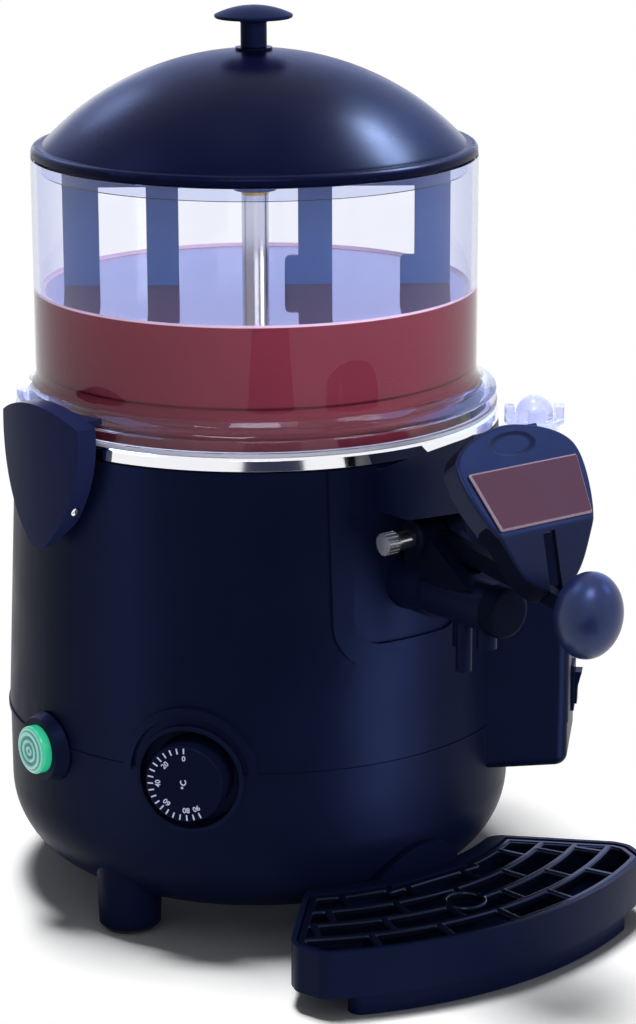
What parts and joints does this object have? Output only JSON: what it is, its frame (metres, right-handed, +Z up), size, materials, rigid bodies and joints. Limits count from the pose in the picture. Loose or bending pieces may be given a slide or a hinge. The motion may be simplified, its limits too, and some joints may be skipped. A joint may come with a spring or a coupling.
{
  "type": "hot chocolate dispenser",
  "caption": "Counter-top hot chocolate dispenser: clear lidded bowl with stirrer on a heated round body, lever tap under a slotted hood, bowl latches, dial, side box and curved drip tray.",
  "frame": {"origin": "on the table under the middle of the whole machine", "axes": "+Z up, the tap looks toward -Y, the side box is on the +X side"},
  "size_m": [0.287, 0.4134, 0.462],
  "materials": {
    "body_plastic": "satin",
    "black_plastic": "satin",
    "clear_plastic": "clear",
    "polished_steel": "polished",
    "steel": "brushed",
    "stirrer_plastic": "satin",
    "rubber": "matt",
    "brass": "plain",
    "motor": "satin",
    "label": "satin",
    "lens": "clear"
  },
  "bodies": {
    "machine": {"base_shell": "body_plastic", "legs": "body_plastic", "upper_shell": "body_plastic", "tap_hood": "body_plastic", "latch_brackets": "body_plastic", "dial_cup": "black_plastic", "switch_bezel": "black_plastic", "rocker_frame": "black_plastic", "switch_body": "black_plastic", "tap_body": "black_plastic", "tap_end_cap": "black_plastic", "cord_gland": "black_plastic", "terminal_block": "black_plastic", "thermostat": "black_plastic", "heat_cutout": "black_plastic", "filler_funnel": "black_plastic", "bowl": "clear_plastic", "water_tank": "polished_steel", "pivot_pin": "polished_steel", "chimney_tube": "steel", "tube_nut": "steel", "bottom_plate": "steel", "bottom_screws": "steel", "motor_bracket": "steel", "bracket_posts": "steel", "pin_clip": "steel", "hood_screws": "steel", "latch_pins": "steel", "return_spring": "steel", "heating_element": "steel", "thermostat_bulb": "steel", "foot_pads": "rubber", "bowl_gasket": "rubber", "outlet_grommet": "rubber", "bowl_seal": "rubber", "tap_gasket": "rubber", "shaft_bushes": "brass", "gearbox": "motor", "gear_motor": "motor", "hood_plate": "label"},
    "lid": {"lid_dome": "body_plastic", "lid_knob": "body_plastic", "lid_screw": "steel"},
    "stirrer_unit": {"output_shaft": "steel", "drive_shaft": "steel", "shaft_coupling": "steel", "stirrer": "stirrer_plastic", "stirrer_cap": "stirrer_plastic"},
    "lever_unit": {"lever": "black_plastic", "lever_knob": "black_plastic"},
    "plunger_unit": {"plunger": "black_plastic", "plunger_seal": "rubber"},
    "left_latch_unit": {"left_latch": "body_plastic"},
    "right_latch_unit": {"right_latch": "body_plastic"},
    "dial_unit": {"dial": "black_plastic"},
    "button_unit": {"push_button": "lens"},
    "rocker_unit": {"rocker": "black_plastic"},
    "tray_unit": {"drip_tray": "black_plastic"},
    "grille_unit": {"drip_grille": "black_plastic"},
    "filler_cap_unit": {"filler_cap": "clear_plastic"}
  },
  "joints": [
    {"name": "lid_lift", "type": "slide", "parent": "machine", "child": "lid", "axis": [0, 0, 1], "range_m": [0, 0.15]},
    {"name": "stirrer_spin", "type": "hinge", "parent": "machine", "child": "stirrer_unit", "pos_m": [0.0025, 0.06918, 0.3], "axis": [0, 0, 1], "continuous": true},
    {"name": "lever_lift", "type": "hinge", "parent": "machine", "child": "lever_unit", "pos_m": [0.0025, -0.07682, 0.217], "axis": [-1, 0, 0], "range_deg": [0, 17], "stiffness_Nm_per_rad": 0.6, "springref_deg": -8.59},
    {"name": "plunger_slide", "type": "slide", "parent": "machine", "child": "plunger_unit", "axis": [0, -1, 0], "range_m": [0, 0.0082]},
    {"name": "left_latch_swing", "type": "hinge", "parent": "machine", "child": "left_latch_unit", "pos_m": [-0.13037, 0.06338, 0.225], "axis": [0.0436, -0.999, 0], "range_deg": [0, 15]},
    {"name": "right_latch_swing", "type": "hinge", "parent": "machine", "child": "right_latch_unit", "pos_m": [0.13348, 0.09228, 0.225], "axis": [-0.1736, 0.9848, 0], "range_deg": [0, 15]},
    {"name": "dial_turn", "type": "hinge", "parent": "machine", "child": "dial_unit", "pos_m": [-0.1012, -0.0133, 0.0945], "axis": [-0.7826, -0.6225, 0], "range_deg": [0, 210]},
    {"name": "button_press", "type": "slide", "parent": "machine", "child": "button_unit", "axis": [1, 0, 0], "range_m": [0, 0.0025], "stiffness_N_per_m": 600, "springref_m": -0.001},
    {"name": "rocker_tip", "type": "hinge", "parent": "machine", "child": "rocker_unit", "pos_m": [0.12059, -0.0489, 0.108], "axis": [-0.7071, -0.7071, 0], "range_deg": [0, 16]},
    {"name": "tray_slide", "type": "slide", "parent": "machine", "child": "tray_unit", "axis": [0, -1, 0], "range_m": [0, 0.15]},
    {"name": "grille_lift", "type": "slide", "parent": "tray_unit", "child": "grille_unit", "axis": [0, 0, 1], "range_m": [0, 0.03]},
    {"name": "filler_cap_lift", "type": "slide", "parent": "machine", "child": "filler_cap_unit", "axis": [0, 0, 1], "range_m": [0, 0.05]}
  ],
  "couplings": [
    {"joint": "plunger_slide", "follows": "lever_lift", "m_per_rad": 0.027}
  ]
}
